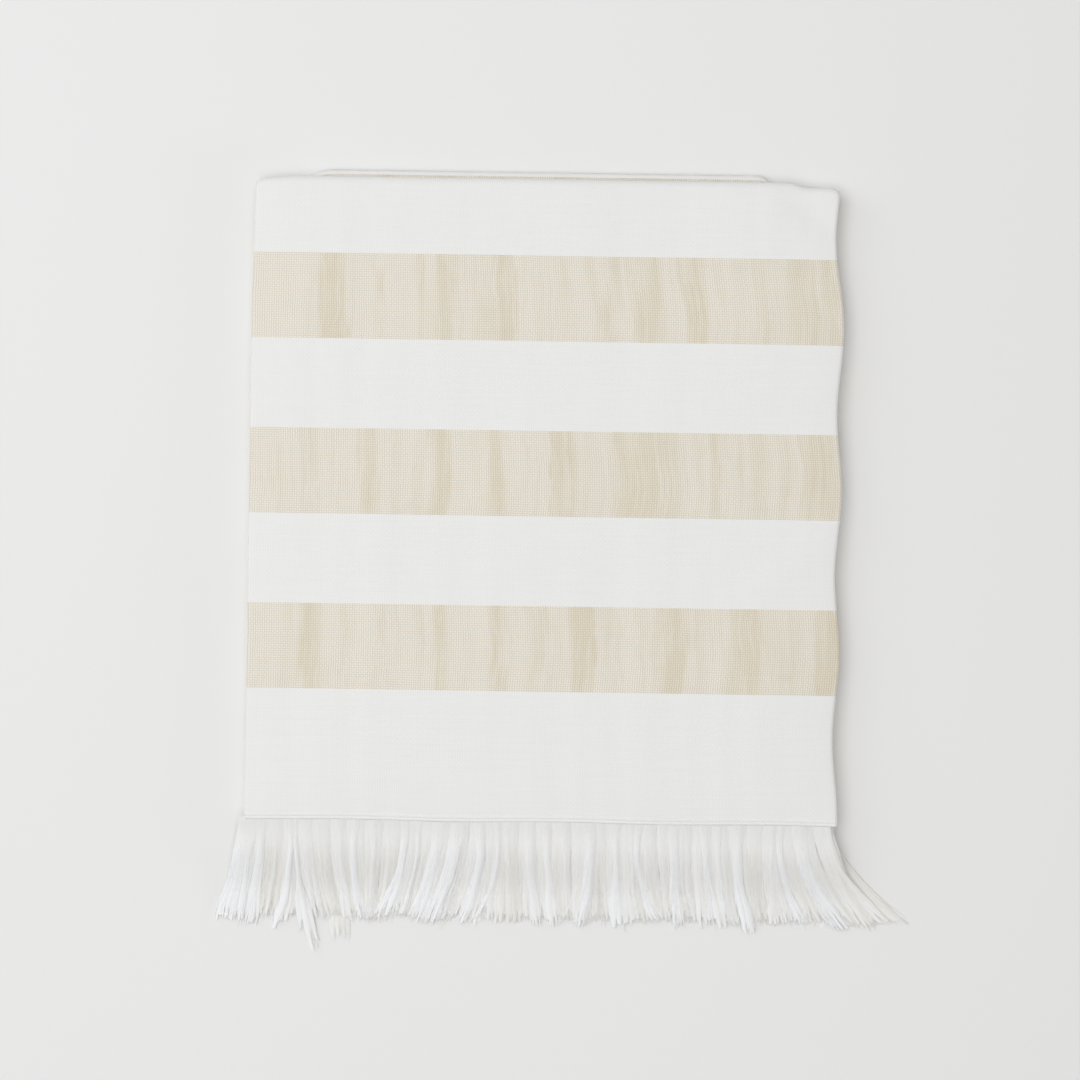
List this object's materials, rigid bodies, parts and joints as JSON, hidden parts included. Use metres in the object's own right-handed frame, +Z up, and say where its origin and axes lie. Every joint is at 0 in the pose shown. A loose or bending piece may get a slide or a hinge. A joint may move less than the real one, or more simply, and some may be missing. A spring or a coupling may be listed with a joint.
{
  "type": "turkish towel",
  "caption": "Flat-woven cotton Turkish towel with broad beige and white stripes and fringed ends, folded to a flat rectangle, for bath or beach.",
  "frame": {"origin": "middle of the underside of the folded cloth, on the surface it lies on", "axes": "+X to the right across the folded towel seen from above, +Y away from the fringe along it, +Z up"},
  "size_m": [0.3884, 0.4402, 0.0175],
  "materials": {
    "cloth": "matte plain-woven cotton, white with broad beige weft stripes",
    "fringe": "matte loose white cotton yarn"
  },
  "bodies": {
    "root": {"towel_cloth": "cloth", "fringe_front": "fringe", "fringe_back": "fringe"}
  },
  "joints": []
}
